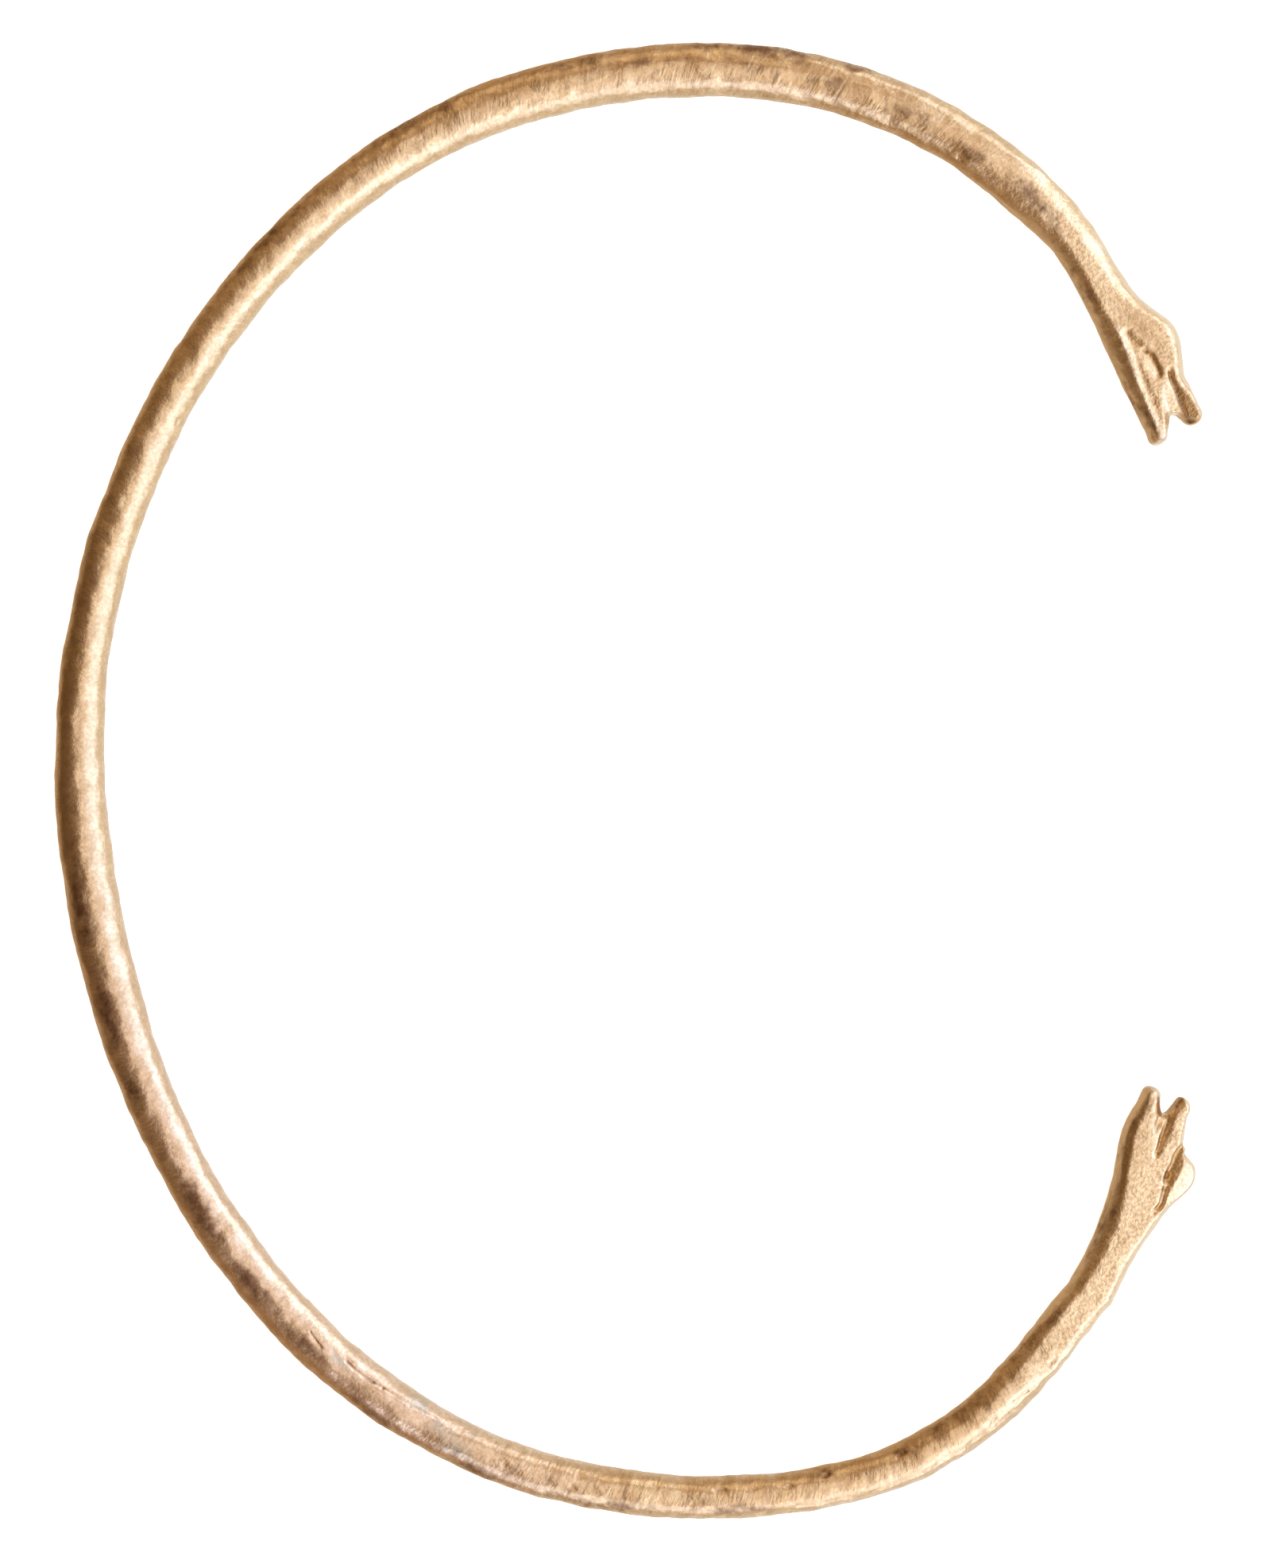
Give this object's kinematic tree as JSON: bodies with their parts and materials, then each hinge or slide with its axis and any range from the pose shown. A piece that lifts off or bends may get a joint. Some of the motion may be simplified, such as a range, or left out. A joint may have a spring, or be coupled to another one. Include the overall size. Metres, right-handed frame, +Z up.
{
  "type": "animal head bracelet",
  "caption": "Open C-shaped cast bronze cuff bracelet with a flat-sided, open-mouthed animal head at each end, lying on its side.",
  "frame": {"origin": "on the surface it lies on, under the middle of the bracelet's bounding box", "axes": "+X from the back of the hoop towards the gap between the heads, +Y along its length from the lower head to the upper one, +Z up, square to the plane of the hoop"},
  "size_m": [0.0528, 0.068, 0.0024],
  "materials": {
    "bronze": "cast golden-brown bronze, worn bright on the ridges, matte and granular on the heads, with dark tarnish in the hollows"
  },
  "bodies": {
    "root": {"bracelet": "bronze"}
  },
  "joints": []
}
